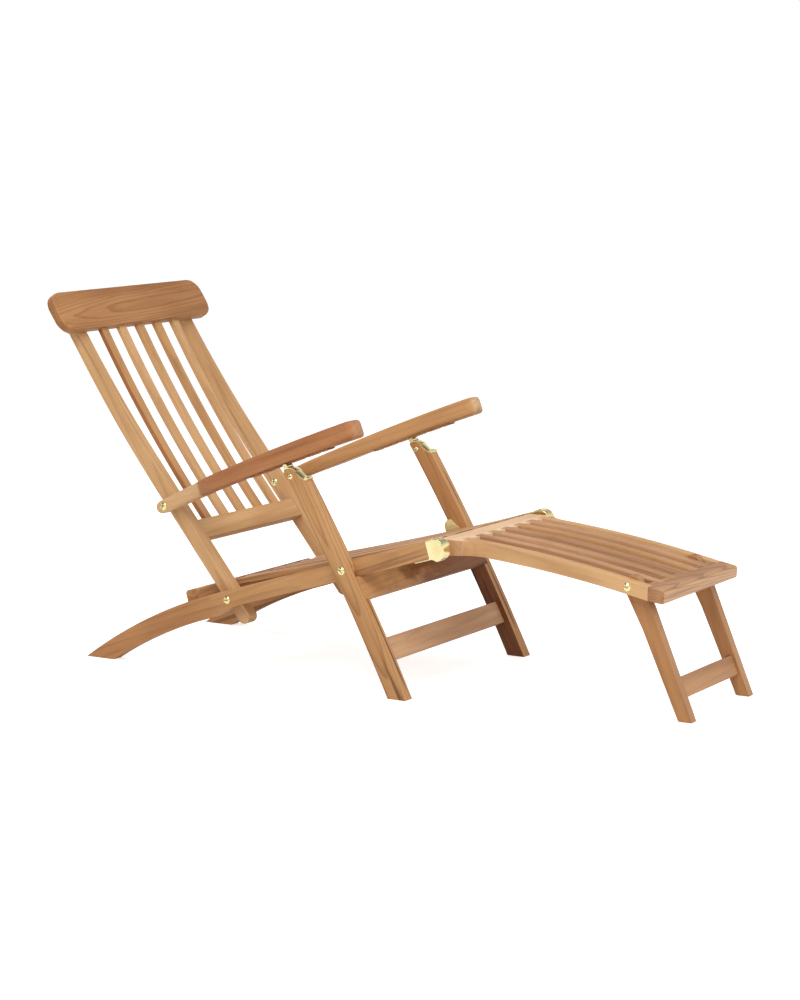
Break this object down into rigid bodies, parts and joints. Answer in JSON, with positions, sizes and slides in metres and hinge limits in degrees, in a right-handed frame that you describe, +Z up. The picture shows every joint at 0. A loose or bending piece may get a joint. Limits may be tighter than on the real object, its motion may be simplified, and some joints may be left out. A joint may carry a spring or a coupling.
{
  "type": "steamer deck chair",
  "caption": "Folding teak deck lounger with a reclining slatted back, curved armrests, crossed legs, brass fittings and a hinged footrest on its own legs.",
  "frame": {"origin": "on the ground, under the middle of the chair's length and width", "axes": "+X towards the footrest, +Y to the sitter's left, +Z up"},
  "size_m": [1.5978, 0.583, 0.8458],
  "materials": {
    "teak": "sanded and lightly oiled",
    "brass": "polished"
  },
  "bodies": {
    "back_bolts": {"back_pivot_bolts": "brass"},
    "back": {"back_slat_1": "teak", "back_slat_2": "teak", "back_slat_3": "teak", "back_slat_4": "teak", "back_slat_5": "teak", "headrest": "teak", "left_back_stile": "teak", "lower_back_rail": "teak", "right_back_stile": "teak"},
    "front_leg_frame": {"catch_bolts": "brass", "left_front_leg": "teak", "left_leg_catch": "brass", "lower_stretcher": "teak", "right_front_leg": "teak", "right_leg_catch": "brass"},
    "seat_frame": {"crossing_bolts": "brass", "front_seat_rail": "teak", "left_crossing_plate": "brass", "left_knuckle": "brass", "left_side_rail": "teak", "rear_cross_bar": "teak", "rear_seat_rail": "teak", "right_crossing_plate": "brass", "right_knuckle": "brass", "right_side_rail": "teak", "seat_slat_1": "teak", "seat_slat_2": "teak", "seat_slat_3": "teak", "seat_slat_4": "teak", "seat_slat_5": "teak", "seat_slat_6": "teak", "seat_slat_7": "teak", "stop_rail": "teak"},
    "footrest": {"footrest_leg_bolts": "brass", "footrest_slat_1": "teak", "footrest_slat_2": "teak", "footrest_slat_3": "teak", "footrest_slat_4": "teak", "footrest_slat_5": "teak", "hinge_board": "teak", "hinge_pins": "brass", "left_footrest_rail": "teak", "nosing": "teak", "right_footrest_rail": "teak"},
    "footrest_leg_frame": {"footrest_stretcher": "teak", "left_footrest_leg": "teak", "right_footrest_leg": "teak"},
    "left_armrest": {"left_arm": "teak", "left_arm_rack": "teak"},
    "left_arm_hinge": {"left_arm_bolt": "brass"},
    "right_armrest": {"right_arm": "teak", "right_arm_rack": "teak"},
    "right_arm_hinge": {"right_arm_bolt": "brass"}
  },
  "joints": [
    {"name": "back_recline", "type": "hinge", "parent": "seat_frame", "child": "back_bolts", "pos_m": [-0.30615, 0, 0.17], "axis": [0, 1, 0], "range_deg": [-27, 0]},
    {"name": "back_fold", "type": "hinge", "parent": "back_bolts", "child": "back", "pos_m": [-0.30615, 0, 0.17], "axis": [0, 1, 0], "range_deg": [0, 88]},
    {"name": "front_leg_fold", "type": "hinge", "parent": "seat_frame", "child": "front_leg_frame", "pos_m": [0.01685, 0, 0.27], "axis": [0, 1, 0], "range_deg": [0, 85.36]},
    {"name": "footrest_swing", "type": "hinge", "parent": "seat_frame", "child": "footrest", "pos_m": [0.23285, 0, 0.33], "axis": [0, 1, 0], "range_deg": [-15, 90]},
    {"name": "footrest_leg_fold", "type": "hinge", "parent": "footrest", "child": "footrest_leg_frame", "pos_m": [0.65645, 0, 0.279], "axis": [0, 1, 0], "range_deg": [0, 104]},
    {"name": "right_arm_follow", "type": "hinge", "parent": "back", "child": "right_arm_hinge", "pos_m": [-0.47415, 0, 0.3706], "axis": [0, 1, 0], "range_deg": [-88, 0]},
    {"name": "right_arm_lift", "type": "hinge", "parent": "right_arm_hinge", "child": "right_armrest", "pos_m": [-0.47415, 0, 0.3706], "axis": [0, 1, 0], "range_deg": [-8, 0]},
    {"name": "left_arm_follow", "type": "hinge", "parent": "back", "child": "left_arm_hinge", "pos_m": [-0.47415, 0, 0.3706], "axis": [0, 1, 0], "range_deg": [-88, 0]},
    {"name": "left_arm_lift", "type": "hinge", "parent": "left_arm_hinge", "child": "left_armrest", "pos_m": [-0.47415, 0, 0.3706], "axis": [0, 1, 0], "range_deg": [-8, 0]}
  ],
  "couplings": [
    {"joint": "front_leg_fold", "follows": "back_fold", "ratio": 0.97},
    {"joint": "right_arm_follow", "follows": "back_fold", "ratio": -1},
    {"joint": "left_arm_follow", "follows": "back_fold", "ratio": -1}
  ]
}
